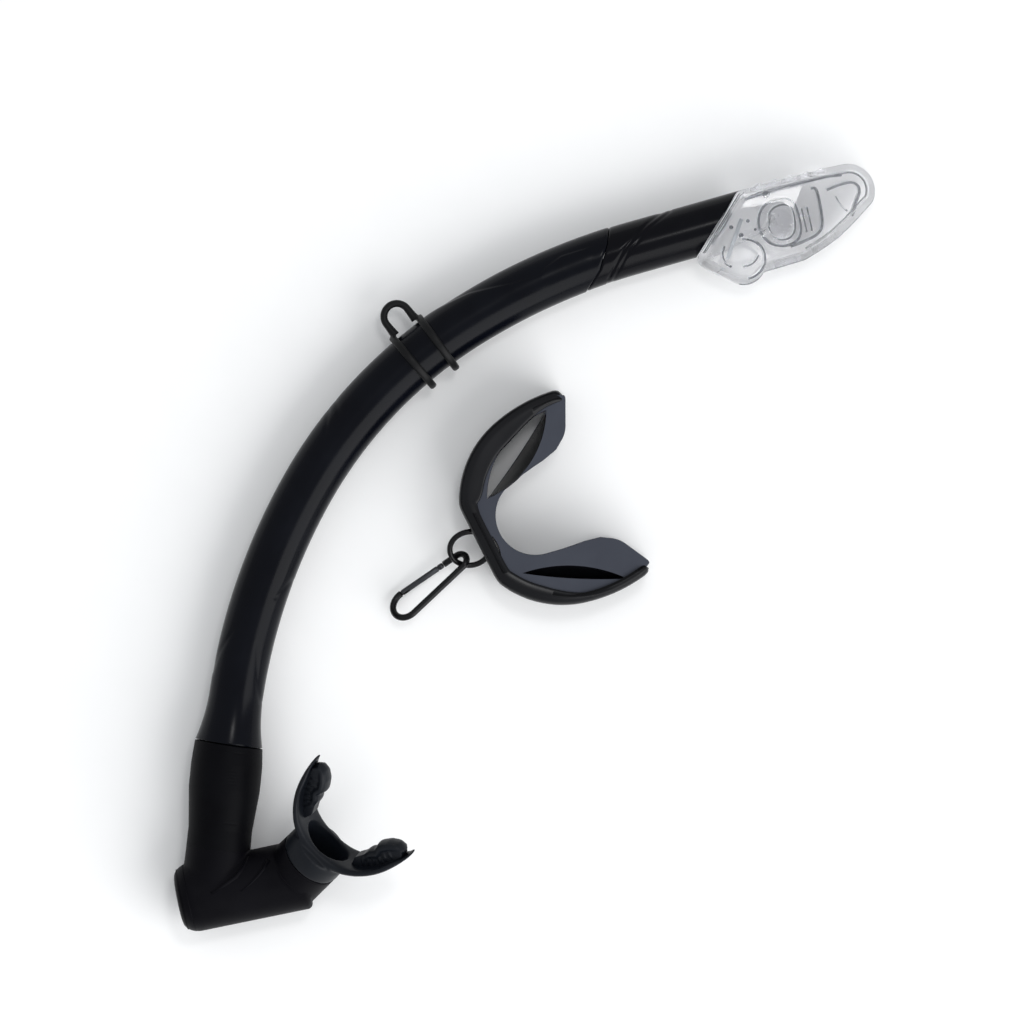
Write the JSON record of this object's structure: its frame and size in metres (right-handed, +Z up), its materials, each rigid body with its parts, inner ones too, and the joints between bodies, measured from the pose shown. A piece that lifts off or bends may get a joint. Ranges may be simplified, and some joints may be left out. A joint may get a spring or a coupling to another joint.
{
  "type": "foldable dry-top snorkel with storage clip",
  "caption": "Curved black snorkel with a clear dry-top head, flexible sleeve, purge chamber, swivelling mouthpiece, mask keeper, and a C-shaped storage clip on a carabiner.",
  "frame": {"origin": "centre of the set's box on the surface it lies on", "axes": "+Z up off the surface it lies on, +Y towards the head end, +X across, towards the clear head's tip"},
  "size_m": [0.3089, 0.3381, 0.0539],
  "materials": {
    "barrel_gloss": "smooth moulded gloss, soft to fold",
    "upper_gloss": "hard moulded gloss",
    "insert_plastic": "plain moulded insert",
    "clear_shell": "clear moulded polycarbonate",
    "float_clear": "clear moulded float",
    "seal_silicone": "translucent silicone",
    "sleeve_silicone": "matte silicone",
    "chamber_matte": "fine matte moulded plastic",
    "mouth_silicone": "satin silicone",
    "keeper_rubber": "matte rubber",
    "clip_gloss": "glossy moulded rim",
    "clip_matte": "fine matte plate",
    "black_metal": "glossy black coated wire",
    "gate_metal": "dark silver coated rod"
  },
  "bodies": {
    "barrel": {"barrel_flare": "barrel_gloss", "barrel_low": "barrel_gloss", "barrel_mid": "barrel_gloss", "barrel_high": "barrel_gloss", "upper_tube": "upper_gloss", "lower_ferrule": "insert_plastic", "splice_tube": "insert_plastic", "head_shell_front": "clear_shell", "head_shell_rear": "clear_shell", "seat_plate": "clear_shell", "seat_ring": "seal_silicone", "float_pin": "clear_shell", "head_baffle": "clear_shell", "stop_post": "clear_shell"},
    "float": {"float_block": "float_clear", "seal_disc": "seal_silicone"},
    "mouth_unit": {"sleeve": "sleeve_silicone", "chamber": "chamber_matte", "purge_seat": "insert_plastic", "purge_cover": "chamber_matte"},
    "purge_flap": {"purge_flap": "seal_silicone"},
    "mouthpiece": {"mouthpiece": "mouth_silicone", "bite_pads": "mouth_silicone"},
    "keeper": {"keeper": "keeper_rubber"},
    "storage_clip": {"clip_rim": "clip_gloss", "clip_front_plate": "clip_matte", "clip_rear_plate": "clip_matte"},
    "lanyard_ring": {"lanyard_ring": "black_metal"},
    "carabiner": {"carabiner_frame": "black_metal", "gate_pin": "gate_metal"},
    "gate": {"gate": "gate_metal"}
  },
  "joints": [
    {"name": "sleeve_flex", "type": "hinge", "parent": "barrel", "child": "mouth_unit", "pos_m": [-0.13053, -0.10749, 0.0155], "axis": [0, 0, 1], "range_deg": [-15, 15], "stiffness_Nm_per_rad": 0.6, "deforming": ["sleeve"]},
    {"name": "mouthpiece_swivel", "type": "hinge", "parent": "mouth_unit", "child": "mouthpiece", "pos_m": [-0.101, -0.144, 0.0155], "axis": [0.5792, 0.5792, 0.5736], "range_deg": [-60, 60]},
    {"name": "purge_lift", "type": "slide", "parent": "mouth_unit", "child": "purge_flap", "axis": [-0.9792, -0.2028, 0], "range_m": [0, 0.0012], "stiffness_N_per_m": 30},
    {"name": "float_swing", "type": "hinge", "parent": "barrel", "child": "float", "pos_m": [0.11143, 0.15341, 0.0155], "axis": [0, 0, 1], "range_deg": [-10.5, 0]},
    {"name": "keeper_slide", "type": "hinge", "parent": "barrel", "child": "keeper", "pos_m": [0.08483, -0.07349, 0.0155], "axis": [0, 0, 1], "range_deg": [-3.5, 16]},
    {"name": "clip_stow", "type": "slide", "parent": "barrel", "child": "storage_clip", "axis": [0, 0, 1], "range_m": [0, 0.12]},
    {"name": "ring_swing", "type": "hinge", "parent": "storage_clip", "child": "lanyard_ring", "pos_m": [-0.01769, 0.00291, 0.0145], "axis": [0.454, -0.891, 0], "range_deg": [-30, 12]},
    {"name": "carabiner_swing", "type": "hinge", "parent": "lanyard_ring", "child": "carabiner", "pos_m": [-0.02755, -0.00556, 0.00985], "axis": [0.7959, -0.464, -0.389], "range_deg": [-30, 3]},
    {"name": "gate_open", "type": "hinge", "parent": "carabiner", "child": "gate", "pos_m": [-0.05141, -0.0185, 0.00338], "axis": [0.4556, -0.4583, -0.7631], "range_deg": [0, 13], "stiffness_Nm_per_rad": 0.004, "springref_deg": -20.05}
  ]
}
